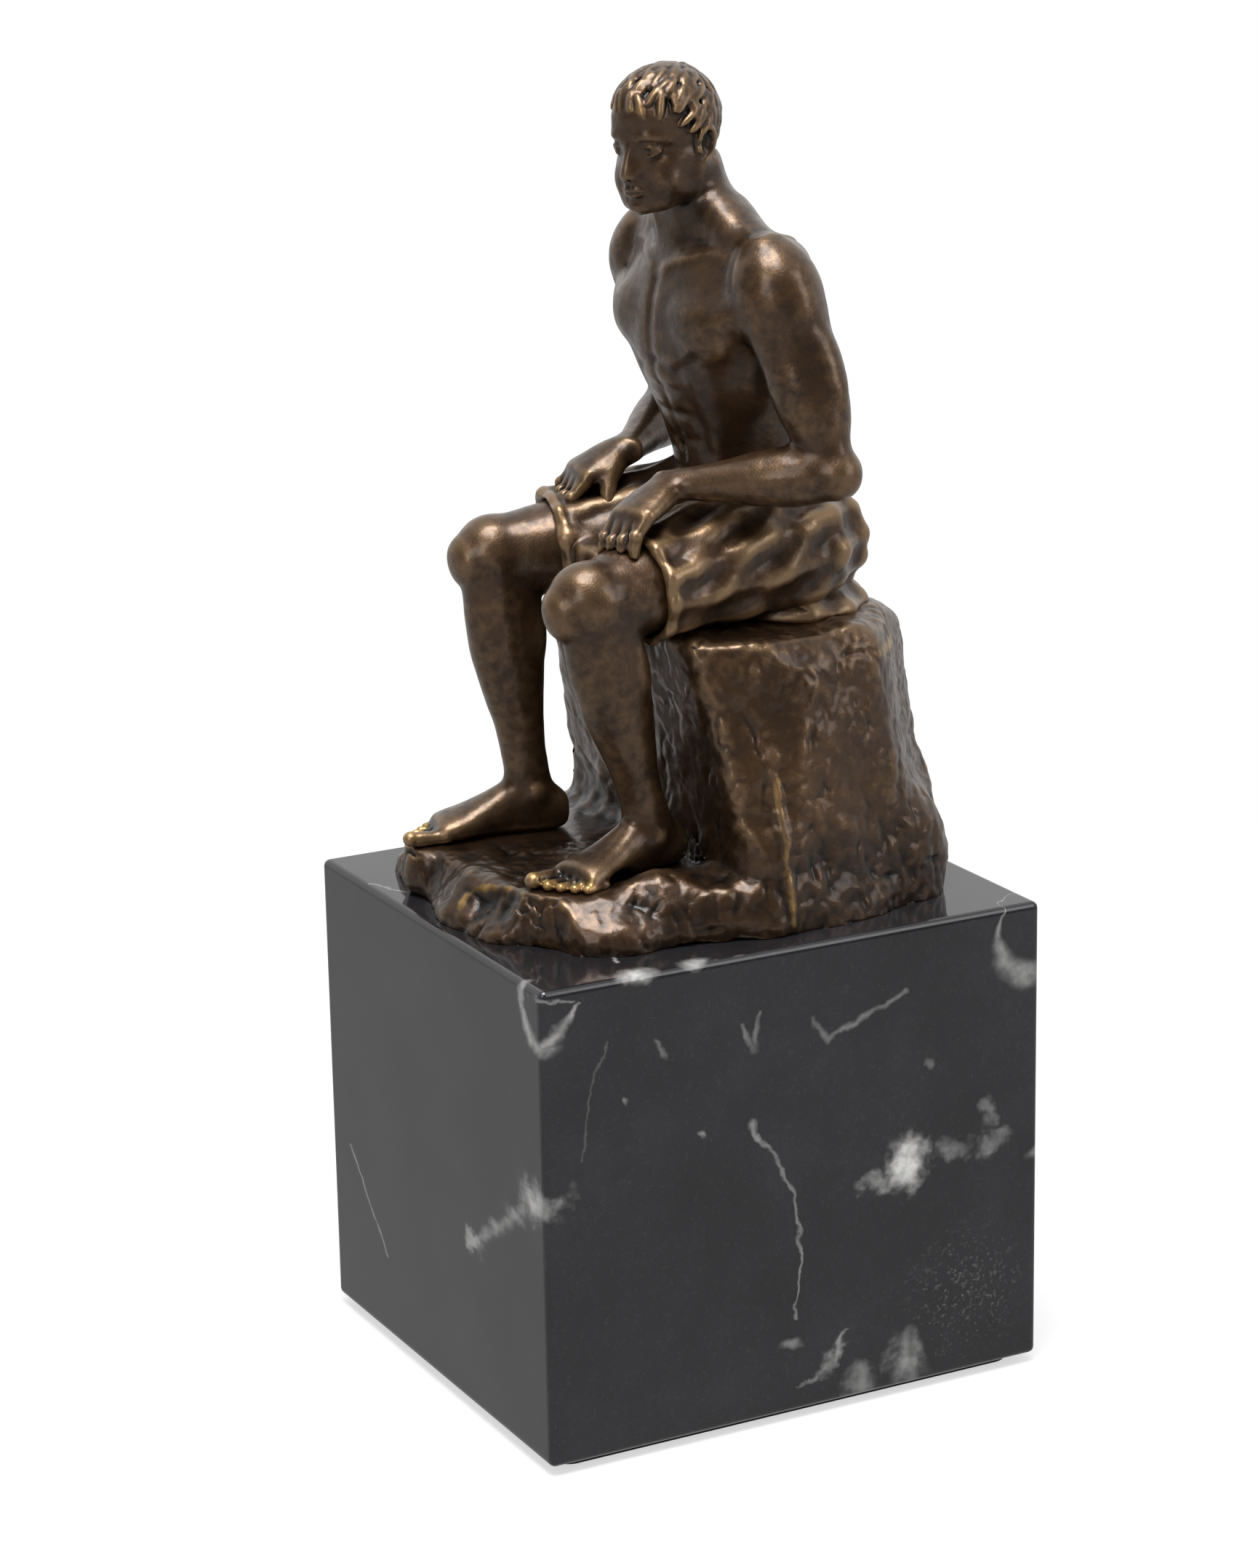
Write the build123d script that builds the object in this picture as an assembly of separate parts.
from build123d import *
import os
from math import cos, pi, radians, sin, sqrt

# Seated bronze figure on a rough rock, bolted down on a polished marble block.
# The bronze is cast in hollow and solid sections that are pinned with dowels and brazed together.
# Millimetres, +Z up. The origin is the middle of the felt's underside.
# The figure looks along -Y, so its left hand is on the +X side.

# Marble block and its felt
block_width = 82.0
block_depth = 90.0
block_height = 78.5
block_arris = 0.8
felt_thickness = 1.5
felt_margin = 3.0
felt_corner = 3.0

# Stud, nut and washer that hold the bronze down
fixing_x = 1.0
fixing_y = 9.0
stud_diameter = 8.0
stud_clearance = 0.5
stud_above_bar = 3.0
stud_below_nut = 2.5
nut_across_flats = 13.0
nut_height = 6.5
washer_diameter = 20.0
washer_thickness = 1.8
pocket_clearance = 2.0
pocket_depth = 20.0
bar_width = 18.0
bar_thickness = 6.0
bar_lift = 6.0

# Rock casting: a chiselled lump with a seat and a lower ledge for the feet
rock_x = 1.0
rock_y = 1.0
rock_wall = 4.0
seat_height = 46.0
seat_front = 3.0
seat_front_lean = 9.0
ledge_height = 8.0
# Side faces: (bearing from +X towards +Y, inward lean, reach from the rock's middle at its foot)
rock_faces = (
    (-16.0, 11.0, 34.0),
    (10.0, 6.0, 34.5),
    (50.0, 9.0, 40.5),
    (87.0, 6.0, 41.5),
    (124.0, 12.0, 40.5),
    (172.0, 9.0, 33.5),
    (204.0, 7.0, 36.0),
    (228.0, 15.0, 43.0),
    (266.0, 20.0, 42.0),
    (294.0, 24.0, 41.5),
    (324.0, 16.0, 38.0),
)
# Broken top edges: (bearing, downward slope, reach at seat height where the slope begins)
rock_shoulders = (
    (97.0, 30.0, 29.0),
    (48.0, 38.0, 31.0),
    (4.0, 55.0, 25.5),
    (148.0, 40.0, 32.0),
    (186.0, 52.0, 25.5),
)
# Swellings at the foot of the rock: (bearing, distance out, height, half width, half depth, half height)
rock_swellings = (
    (-40.0, 29.0, 1.0, 11.0, 8.0, 10.0),
    (28.0, 29.5, 7.0, 9.0, 6.0, 18.0),
    (146.0, 29.0, 4.0, 10.0, 8.0, 20.0),
    (252.0, 31.0, 0.0, 14.0, 8.0, 6.5),
)

# Figure: skeleton lengths and the places that its hands and feet rest on
hip_y = 17.0
hip_rise = 11.0
hip_half_spacing = 8.8
thigh_length = 41.0
shin_length = 40.0
ankle_height = 6.6
left_ankle = (15.0, -12.0)
right_ankle = (-14.0, -19.0)
knee_splay = 0.2
torso_lean = 11.0
waist_rise = 12.5
shoulder_rise = 32.5
shoulder_half_spacing = 20.2
upper_arm_length = 31.5
forearm_length = 26.0
elbow_out = 0.75
elbow_back = 0.8
elbow_down = 0.2
left_hand_share = 0.68
right_hand_share = 0.54
wrist_lift = 3.4
neck_root_rise = 38.0
head_rise = 53.6
head_forward = 4.4
head_turn = 22.0
head_nod = 8.0

# Trunk sections: (rise above the waist, forward shift, half width, half depth)
trunk_sections = (
    (0.0, 0.6, 13.6, 9.8),
    (7.0, 1.0, 14.2, 10.2),
    (16.0, 1.4, 17.0, 11.6),
    (25.0, 1.2, 19.4, 12.0),
    (32.0, 0.2, 19.0, 10.4),
    (36.5, -0.6, 14.0, 8.6),
    (40.0, -0.8, 8.8, 7.2),
    (42.0, -0.8, 6.8, 6.4),
)
# Muscles of the trunk: size is half width, half depth and half length, place is rise, forward, sideways
chest_size = (9.4, 4.2, 6.8)
chest_place = (25.0, 8.4, 8.2)
blade_size = (7.2, 3.2, 8.8)
blade_place = (27.5, -8.0, 9.2)
flank_size = (4.4, 6.4, 12.5)
flank_place = (18.0, -2.6, 13.6)
flank_tilt = 0.22
trapezius_radius = 4.4
trapezius_end_radius = 3.96
trapezius_lift = 2.0
nape_half_width = 3.52

# Limb profiles: (share of the length, half width from side to side, half width front to back)
upper_arm_profile = (
    (-0.22, 2.6, 2.8),
    (-0.12, 5.2, 5.4),
    (0.1, 6.8, 7.2),
    (0.34, 5.6, 6.4),
    (0.58, 5.1, 6.2),
    (0.8, 4.2, 4.8),
    (1.0, 3.4, 3.6),
)
elbow_size = (4.2, 4.4, 4.6)
forearm_profile = ((0.0, 3.5, 3.7), (0.28, 5.1, 4.9), (0.58, 4.3, 3.9), (0.85, 3.2, 2.8), (1.1, 3.1, 2.5))
thigh_profile = ((0.4, 8.6, 8.6), (0.78, 7.4, 7.4), (1.0, 5.6, 5.8))
knee_size = (6.2, 6.6, 6.8)
shin_profile = (
    (0.0, 5.2, 5.4),
    (0.26, 5.6, 6.4),
    (0.42, 5.0, 6.2),
    (0.7, 3.7, 4.3),
    (0.9, 3.2, 3.8),
    (1.06, 3.4, 4.4),
)
neck_profile = ((0.0, 8.0, 7.6), (0.35, 6.7, 6.8), (1.0, 6.3, 6.5))
neck_overlap = 2.0
neck_back = 1.0
knee_cap_size = (4.2, 3.0, 4.6)
knee_cap_forward = 4.8

# Hands: fingers run from the index to the little finger, and their profiles are shares of the radius
palm_length = 10.2
palm_press = 0.7
palm_heel_share = 0.55
palm_profile = ((-0.1, 2.6, 2.0), (0.3, 4.0, 2.6), (0.6, 4.7, 2.4), (1.0, 4.9, 1.9))
finger_lengths = (9.4, 10.4, 9.8, 7.8)
finger_spread = 2.4
finger_radius = 1.12
finger_overlap = 1.68
finger_drop = (24.0, 58.0)
finger_base_profile = ((0.0, 1.0, 1.0), (0.75, 1.0, 1.0))
finger_tip_profile = ((0.2, 1.0, 1.0), (0.75, 0.85, 0.85), (1.0, 0.45, 0.45))
thumb_length = 9.6
thumb_radius = 1.55
thumb_root_share = 0.3
thumb_root_out = 0.6
thumb_splay = 0.7

# Feet: sections are (forward of the ankle, half width, half height, height of the middle)
foot_sections = (
    (-6.4, 2.1, 2.5, 3.1),
    (-3.8, 3.3, 4.2, 3.8),
    (2.2, 3.4, 4.9, 4.5),
    (8.5, 4.1, 3.4, 3.1),
    (13.6, 5.1, 2.5, 2.1),
    (16.0, 5.0, 2.0, 1.7),
)
toe_lengths = (6.0, 5.6, 5.0, 4.2, 3.4)
toe_radii = (1.45, 0.95, 0.9, 0.85, 0.8)
toe_profile = ((0.0, 1.0, 1.0), (0.5, 0.94, 0.9), (0.85, 1.0, 1.0), (1.1, 0.5, 0.5))
toe_gap = 0.12
toe_retreat = 0.45
toe_overlap = 1.0
toe_press = 0.85
foot_turnout = 12.0

# Cloth wrap round the hips and thighs, with a rolled band and an apron between the knees
wrap_share = 0.78
wrap_profile = ((-0.3, 8.0, 7.6), (0.0, 11.2, 10.8), (0.45, 10.5, 10.1), (1.0, 9.4, 9.2))
fold_count = 11
fold_depth = 0.65
fold_twist = 0.9
fold_points = 6
cloth_thickness = 1.3
hem_depth = 3.0
lap_sag = 1.0
pelvis_size = (16.0, 12.6)
skirt_size = (20.5, 15.5, 4.5)
band_radius = 1.7
band_drop = 2.04
knot_size = (2.2, 3.0, 3.0)
knot_place = (0.8, 0.6)
apron_root_forward = 6.3
apron_root_thickness = 4.5
apron_middle_thickness = 2.4
apron_edge_rise = 2.76
apron_top_share = 0.75
apron_top_wave = 0.55
apron_folds = 4
# Sections of the hanging apron: (drop below its edge, half width, height of its waves)
apron_hang = ((6.75, 9.0, 1.1), (15.0, 8.1, 1.43))

# Head, measured from the middle of the skull
skull_size = (7.6, 9.4, 8.0)
skull_back = 0.8
skull_lift = 2.9
hair_thickness = 0.9
hairline_tilt = 33.0
hairline_front = -9.0
hairline_height = 6.4
jaw_sections = (
    (2.5, -2.0, 6.8, 7.0),
    (-2.5, -2.8, 6.4, 6.6),
    (-6.8, -3.5, 5.2, 5.5),
    (-9.8, -4.7, 3.0, 3.4),
)
bridge_forward = 8.35
bridge_height = 1.2
brow_size = (5.2, 1.1, 1.3)
brow_lift = 0.9
nose_length = 4.8
nose_rake = 1.56
nose_profile = ((0.0, 0.8, 1.2), (0.7, 1.2, 1.8), (1.0, 1.5, 2.6))
ear_size = (1.0, 2.1, 3.2)
ear_back = 1.2
ear_drop = 0.8
ear_rake = -10.0
ear_flare = 12.0

# Dowels of the brazed joints: each reaches as far into one section as into the other
dowel_radius = 1.6
dowel_reach = 4.5
foot_dowel_radius = 1.0
foot_dowel_reach = 3.0
waist_dowel_spacing = 12.0
shoulder_dowel_inset = 2.5
seat_dowel_spacing = 18.0

# Levels, directions and joints of the skeleton that follow from the sizes above
block_top = felt_thickness + block_height
ledge_level = block_top + ledge_height
seat_level = block_top + seat_height
pocket_top = felt_thickness + pocket_depth
beyond = 4 * (block_width + block_depth)
up = Vector(0, 0, 1)
left = Vector(1, 0, 0)
forward = Vector(0, -1, 0)
spine = Vector(0, -sin(radians(torso_lean)), cos(radians(torso_lean)))
ahead = Vector(0, -cos(radians(torso_lean)), -sin(radians(torso_lean)))
hips = Vector(0, hip_y, seat_level + hip_rise)
waist = hips + spine * waist_rise
shoulders = waist + spine * shoulder_rise
neck_root = waist + spine * neck_root_rise
skull = waist + spine * head_rise + ahead * head_forward


def two_bone(root, tip, first, second, pole):
    # The bent joint of a two-part limb that reaches from root to tip, bulging towards pole
    span = tip - root
    reach = span.length
    line = span.normalized()
    along = (first**2 - second**2 + reach**2) / (2 * reach)
    rise = sqrt(first**2 - along**2)
    return root + line * along + across(line, pole) * rise


def across(direction, side):
    # The part of side that is square to direction
    return (side - direction * side.dot(direction)).normalized()


def stations(start, end, profile):
    # Oval sections square to a straight bone: each is its middle, its line and its half widths
    line = (end - start).normalized()
    return [(start + (end - start) * share, line, *half_widths) for share, *half_widths in profile]


def flesh(ovals):
    # Smooth solid through oval sections, whose widths run from side to side
    faces = []
    for middle, line, half_side, half_other in ovals:
        place = Plane(origin=middle, x_dir=across(line, left), z_dir=line)
        faces.append(place * Ellipse(half_side, half_other))
    return loft(faces)


def limb(start, end, profile):
    return flesh(stations(start, end, profile))


def sized(profile, radius):
    # A profile in millimetres from one in shares of a radius
    return [(share, half_side * radius, half_other * radius) for share, half_side, half_other in profile]


def ovoid(centre, size, line=up, side=left):
    # Egg-shaped swelling: size is half of its width, depth and length, with its length along line
    place = Plane(origin=centre, x_dir=across(line, side), z_dir=line)
    return place * scale(Sphere(1), by=tuple(size))


def tapered_rod(start, end, start_radius, end_radius):
    line = end - start
    place = Plane(origin=start + line / 2, z_dir=line.normalized())
    return place * Cone(start_radius, end_radius, line.length)


def dowel(middle, line, radius, reach):
    return Plane(origin=middle, z_dir=line) * Cylinder(radius, 2 * reach)


def half_space(origin, outward):
    # Everything on the outward side of a plane
    return Plane(origin=origin, z_dir=outward) * Pos(0, 0, beyond / 2) * Box(2 * beyond, 2 * beyond, beyond)


def largest(shape):
    return max(shape.solids(), key=lambda solid: solid.volume)


class Side:
    # One side of the body: where its hip, knee and ankle are
    def __init__(self, sign, ankle, hand_share):
        self.sign = sign
        self.hand_share = hand_share
        self.outward = left * sign
        self.hip = hips + self.outward * hip_half_spacing
        self.ankle = Vector(*ankle, ledge_level + ankle_height)
        self.knee = two_bone(
            self.hip, self.ankle, thigh_length, shin_length, forward + self.outward * knee_splay
        )
        self.thigh = (self.knee - self.hip).normalized()
        self.thigh_top = across(self.thigh, up)
        self.hem = self.hip + self.thigh * thigh_length * wrap_share
        self.shoulder = shoulders + self.outward * shoulder_half_spacing


left_side = Side(1, left_ankle, left_hand_share)
right_side = Side(-1, right_ankle, right_hand_share)
both_sides = (left_side, right_side)


# Marble block with its bolt hole, and the felt under it
def marble_block():
    block = Pos(0, 0, felt_thickness + block_height / 2) * Box(block_width, block_depth, block_height)
    block = chamfer(block.edges(), block_arris)
    hole = Pos(fixing_x, fixing_y, block_top / 2) * Cylinder(
        stud_diameter / 2 + stud_clearance, 2 * block_height
    )
    pocket = Pos(fixing_x, fixing_y, pocket_top / 2) * Cylinder(
        washer_diameter / 2 + pocket_clearance, pocket_top
    )
    return block - hole - pocket


def felt_pad():
    outline = RectangleRounded(
        block_width - 2 * felt_margin, block_depth - 2 * felt_margin, felt_corner
    )
    return extrude(outline, felt_thickness)


# Stud, nut and washer
def fixing_stud():
    top = block_top + bar_lift + bar_thickness + stud_above_bar
    bottom = pocket_top - washer_thickness - nut_height - stud_below_nut
    return Pos(fixing_x, fixing_y, (top + bottom) / 2) * Cylinder(stud_diameter / 2, top - bottom)


def fixing_washer():
    ring = Cylinder(washer_diameter / 2, washer_thickness)
    ring -= Cylinder(stud_diameter / 2 + stud_clearance, washer_thickness)
    return Pos(fixing_x, fixing_y, pocket_top - washer_thickness / 2) * ring


def fixing_nut():
    hexagon = RegularPolygon(nut_across_flats / 2, 6, major_radius=False)
    nut = extrude(hexagon, nut_height)
    nut -= Pos(0, 0, nut_height / 2) * Cylinder(stud_diameter / 2, nut_height)
    return Pos(fixing_x, fixing_y, pocket_top - washer_thickness - nut_height) * nut


# Rock: the same chisel cuts, set in by the wall, give the hollow of its core
def rock_lump(inset):
    height = seat_height - inset
    lump = Pos(rock_x, rock_y, block_top + height / 2) * Box(beyond, beyond, height)
    for bearing, lean, reach in rock_faces:
        lump -= chisel(bearing, lean, reach, block_top, inset)
    for bearing, slope, reach in rock_shoulders:
        lump -= chisel(bearing, 90 - slope, reach, seat_level, inset)
    lean = radians(seat_front_lean)
    in_front = half_space(Vector(0, inset - seat_front, ledge_level), Vector(0, -cos(lean), -sin(lean)))
    above_ledge = half_space(Vector(0, 0, ledge_level - inset), up)
    return lump - (in_front & above_ledge)


def chisel(bearing, lean, reach, level, inset):
    # Everything outside one flat face of the rock
    turn, tip = radians(bearing), radians(lean)
    outward = Vector(cos(turn) * cos(tip), sin(turn) * cos(tip), sin(tip))
    foot = Vector(rock_x + reach * cos(turn), rock_y + reach * sin(turn), level)
    return half_space(foot - outward * inset, outward)


def rough_rock():
    rock = rock_lump(0)
    for bearing, distance, height, half_width, half_depth, half_height in rock_swellings:
        place = Pos(rock_x, rock_y, block_top + height) * Rot(0, 0, bearing) * Pos(distance, 0, 0)
        rock += place * scale(Sphere(1), by=(half_depth, half_width, half_height))
    return rock - half_space(Vector(0, 0, block_top), -up)


def fixing_bar(core):
    middle = block_top + bar_lift + bar_thickness / 2
    bar = Pos(rock_x, fixing_y, middle) * Box(beyond, bar_width, bar_thickness)
    hole = Pos(fixing_x, fixing_y, middle) * Cylinder(stud_diameter / 2, bar_thickness)
    return (bar & core) - hole


# Hips and thighs under the cloth wrap
def wrapped_lap():
    seat = Vector(0, hip_y, seat_level)
    top = [half + cloth_thickness for half in trunk_sections[0][2:]]
    lap = limb(seat, waist, ((0.0, *pelvis_size), (0.5, *pelvis_size), (1.0, *top)))
    lap += ovoid(seat, skirt_size)
    for side in both_sides:
        sleeve = stations(side.hip, side.hem, wrap_profile)
        lap += loft([pleated(*station, fold_twist * turn) for turn, station in enumerate(sleeve)])
    lap += apron()
    for side in both_sides:
        recess = [half - cloth_thickness for half in wrap_profile[-1][1:]]
        reach = side.thigh * hem_depth
        lap -= limb(side.hem - reach, side.hem + reach, ((0.0, *recess), (1.0, *recess)))
    return lap + waist_band()


def pleated(middle, line, half_side, half_other, turn):
    # Oval section of cloth whose outline rises and falls in folds
    points = []
    count = fold_count * fold_points
    for step in range(count):
        angle = 2 * pi * step / count
        rise = fold_depth * cos(fold_count * angle + turn)
        points.append(((half_side + rise) * cos(angle), (half_other + rise) * sin(angle)))
    place = Plane(origin=middle, x_dir=across(line, left), z_dir=line)
    return place * make_face(Spline(*points, periodic=True))


def apron():
    # Cloth that spans the gap between the thighs and hangs down in front of the seat
    hem_middle = (left_side.hem + right_side.hem) / 2
    spread = (left_side.hem - right_side.hem).length / 2
    edge = hem_middle + up * (apron_edge_rise - lap_sag)
    belly = hips + ahead * apron_root_forward
    cloth = limb(belly, edge, (
        (0.0, hip_half_spacing, apron_root_thickness),
        (0.5, spread, apron_middle_thickness),
        (1.0, spread, cloth_thickness),
    ))
    hanging = [hanging_section(edge + up * cloth_thickness / 2, spread * apron_top_share, apron_top_wave)]
    for drop, half_width, wave in apron_hang:
        hanging.append(hanging_section(edge - up * drop, half_width, wave))
    return cloth + loft(hanging)


def hanging_section(middle, half_width, wave):
    # Level section of a hanging sheet: two wavy lines, one cloth thickness apart, closed at their ends
    count = apron_folds * fold_points
    front = []
    for step in range(count + 1):
        share = step / count
        front.append(Vector(half_width * (2 * share - 1), wave * cos(2 * pi * apron_folds * share), 0))
    back = [point + Vector(0, cloth_thickness, 0) for point in reversed(front)]
    outline = Spline(*front) + Line(front[-1], back[0]) + Spline(*back) + Line(back[-1], front[0])
    return Pos(*middle) * make_face(outline)


def waist_band():
    half_width, half_depth = [half + cloth_thickness for half in trunk_sections[0][2:]]
    band_plane = Plane(origin=waist - spine * band_drop, x_dir=left, z_dir=spine)
    path = band_plane * Ellipse(half_width, half_depth).edge()
    section = Plane(origin=path @ 0, z_dir=path % 0) * Circle(band_radius)
    sideways, onward = knot_place
    knot = band_plane.origin + left * half_width * sideways + ahead * half_depth * onward
    return sweep(section, path=path) + ovoid(knot, knot_size, spine)


# Trunk, from the waist to the root of the neck
def trunk():
    ovals = []
    for rise, shift, *half_widths in trunk_sections:
        ovals.append((waist + spine * rise + ahead * shift, spine, *half_widths))
    body = flesh(ovals)
    for side in both_sides:
        body += ovoid(on_trunk(side, chest_place), chest_size, spine)
        body += ovoid(on_trunk(side, blade_place), blade_size, spine)
        flank_line = (spine + side.outward * flank_tilt).normalized()
        body += ovoid(on_trunk(side, flank_place), flank_size, flank_line)
        nape = neck_root + spine * trapezius_radius + side.outward * nape_half_width
        shoulder = side.shoulder + spine * trapezius_lift - side.outward * trapezius_radius
        body += tapered_rod(nape, shoulder, trapezius_radius, trapezius_end_radius)
    return body


def on_trunk(side, place):
    rise, shift, sideways = place
    return waist + spine * rise + ahead * shift + side.outward * sideways


# Arms: each reaches from its shoulder to a hand lying on the wrapped thigh
def arm(side):
    rest = side.hip + side.thigh * thigh_length * side.hand_share
    rest += side.thigh_top * (wrap_profile[-1][2] + palm_profile[1][2] * palm_press)
    wrist = rest - side.thigh * palm_length * palm_heel_share + side.thigh_top * wrist_lift
    pole = side.outward * elbow_out - forward * elbow_back - up * elbow_down
    elbow = two_bone(side.shoulder, wrist, upper_arm_length, forearm_length, pole)
    line = (rest - wrist + side.thigh * palm_length * (1 - palm_heel_share)).normalized()
    knuckles = wrist + line * palm_length
    shape = limb(side.shoulder, elbow, upper_arm_profile)
    shape += ovoid(elbow, elbow_size, (elbow - side.shoulder).normalized())
    shape += limb(elbow, wrist, forearm_profile)
    shape += limb(wrist, knuckles, palm_profile)
    lift = across(line, up)
    outer = across(line, side.outward)
    for index, length in enumerate(finger_lengths):
        offset = outer * (index - (len(finger_lengths) - 1) / 2) * finger_spread
        shape += finger(knuckles - line * finger_overlap + offset, line, lift, length, finger_radius)
    thumb_root = wrist + line * palm_length * thumb_root_share - outer * palm_profile[1][1] * thumb_root_out
    thumb_line = (line - outer * thumb_splay).normalized()
    return shape + finger(thumb_root, thumb_line, lift, thumb_length, thumb_radius)


def finger(root, line, lift, length, radius):
    # Two straight lengths with a rounded knuckle between them and a narrowing tip
    lines = [line * cos(radians(drop)) - lift * sin(radians(drop)) for drop in finger_drop]
    knuckle = root + lines[0] * length / 2
    tip = knuckle + lines[1] * length / 2
    base_ovals = stations(root, knuckle, sized(finger_base_profile, radius))
    tip_ovals = stations(knuckle, tip, sized(finger_tip_profile, radius))
    return flesh(base_ovals + tip_ovals)


# Lower legs with the knee and the foot
def leg(side):
    line = (side.ankle - side.knee).normalized()
    shape = limb(side.hip, side.knee, thigh_profile)
    shape += ovoid(side.knee, knee_size, line)
    shape += limb(side.knee, side.ankle, shin_profile)
    shape += ovoid(side.knee + across(line, forward) * knee_cap_forward, knee_cap_size, line)
    return shape + foot(side)


def foot(side):
    turn = radians(foot_turnout)
    line = side.outward * sin(turn) + forward * cos(turn)
    inner = across(line, -side.outward)
    sole = Vector(side.ankle.X, side.ankle.Y, ledge_level)
    ovals = []
    for shift, half_width, half_height, height in foot_sections:
        ovals.append((sole + line * shift + up * height, line, half_width, half_height))
    shape = flesh(ovals)
    ball_shift, ball_half_width = foot_sections[-1][:2]
    edge = ball_half_width
    for index, (length, radius) in enumerate(zip(toe_lengths, toe_radii)):
        root = sole + line * (ball_shift - toe_retreat * index - toe_overlap)
        root += inner * (edge - radius) + up * radius * toe_press
        shape += limb(root, root + line * length, sized(toe_profile, radius))
        edge -= 2 * radius + toe_gap
    return shape - half_space(sole, -up)


# Head and neck
def head():
    middle = Vector(0, skull_back, skull_lift)
    shape = ovoid(middle, skull_size)
    jaw = []
    for height, shift, half_width, half_depth in jaw_sections:
        jaw.append(Pos(0, shift, height) * Ellipse(half_width, half_depth))
    shape += loft(jaw)
    hair = ovoid(middle, [half + hair_thickness for half in skull_size])
    tilt = radians(hairline_tilt)
    hairline = Vector(0, hairline_front, hairline_height)
    shape += hair - half_space(hairline, Vector(0, -sin(tilt), -cos(tilt)))
    bridge = forward * bridge_forward + up * bridge_height
    shape += ovoid(bridge + up * brow_lift, brow_size)
    tip = bridge - up * nose_length + forward * nose_rake
    shape += limb(bridge, tip, nose_profile)
    for side in both_sides:
        ear = Pos(side.sign * skull_size[0], ear_back, -ear_drop) * Rot(ear_rake, 0, side.sign * ear_flare)
        shape += ear * scale(Sphere(1), by=ear_size)
    return Pos(*skull) * Rot(0, 0, head_turn) * Rot(head_nod, 0, 0) * shape


def neck():
    top = skull - ahead * neck_back - spine * neck_overlap
    return limb(neck_root - spine * neck_overlap, top, neck_profile)


# Sections fit against the larger one that carries them
rock_outside = rough_rock()
rock_core = rock_lump(rock_wall)
rock = rock_outside - rock_core
torso = trunk()
lap = wrapped_lap() - half_space(waist, spine) - rock_outside
legs = [leg(side) - lap - rock_outside for side in both_sides]
arms = [arm(side) - torso - lap - shape for side, shape in zip(both_sides, legs)]
head_and_neck = head() + neck() - torso

# Dowels across the brazed joints
neck_dowel = dowel(neck_root + spine * dowel_reach, spine, dowel_radius, dowel_reach)
waist_dowels = []
shoulder_dowels = []
thigh_dowels = []
seat_dowels = []
foot_dowels = []
for side in both_sides:
    waist_side = waist + side.outward * waist_dowel_spacing / 2
    waist_dowels.append(dowel(waist_side, spine, dowel_radius, dowel_reach))
    shoulder_root = side.shoulder - side.outward * shoulder_dowel_inset
    shoulder_dowels.append(dowel(shoulder_root, left, dowel_radius, dowel_reach))
    thigh_end = side.hem - side.thigh * hem_depth
    thigh_dowels.append(dowel(thigh_end, side.thigh, dowel_radius, dowel_reach))
    seat = Vector(side.sign * seat_dowel_spacing / 2, hip_y, seat_level)
    seat_dowels.append(dowel(seat, up, dowel_radius, rock_wall))
    sole = Vector(side.ankle.X, side.ankle.Y, ledge_level)
    foot_dowels.append(dowel(sole, up, foot_dowel_radius, foot_dowel_reach))


def bored(shape, *pins):
    for pin in pins:
        shape -= pin
    return largest(shape)


nodes = {
    "marble_block": marble_block(),
    "felt_pad": felt_pad(),
    "fixing_stud": fixing_stud(),
    "fixing_washer": fixing_washer(),
    "fixing_nut": fixing_nut(),
    "fixing_bar": fixing_bar(rock_core),
    "rock_casting": bored(rock, *seat_dowels, *foot_dowels),
    "lap_casting": bored(lap, *seat_dowels, *waist_dowels, *thigh_dowels),
    "torso_casting": bored(torso, neck_dowel, *waist_dowels, *shoulder_dowels),
    "head_casting": bored(head_and_neck, neck_dowel),
    "left_arm_casting": bored(arms[0], shoulder_dowels[0]),
    "right_arm_casting": bored(arms[1], shoulder_dowels[1]),
    "left_leg_casting": bored(legs[0], thigh_dowels[0], foot_dowels[0]),
    "right_leg_casting": bored(legs[1], thigh_dowels[1], foot_dowels[1]),
    "neck_dowel": neck_dowel,
    "waist_dowels": Compound(children=waist_dowels),
    "shoulder_dowels": Compound(children=shoulder_dowels),
    "thigh_dowels": Compound(children=thigh_dowels),
    "seat_dowels": Compound(children=seat_dowels),
    "foot_dowels": Compound(children=foot_dowels),
}

os.makedirs("parts", exist_ok=True)
for name, shape in nodes.items():
    export_step(shape, os.path.join("parts", name + ".step"))
    print(name, len(shape.solids()), "solids", round(shape.volume), "mm3")
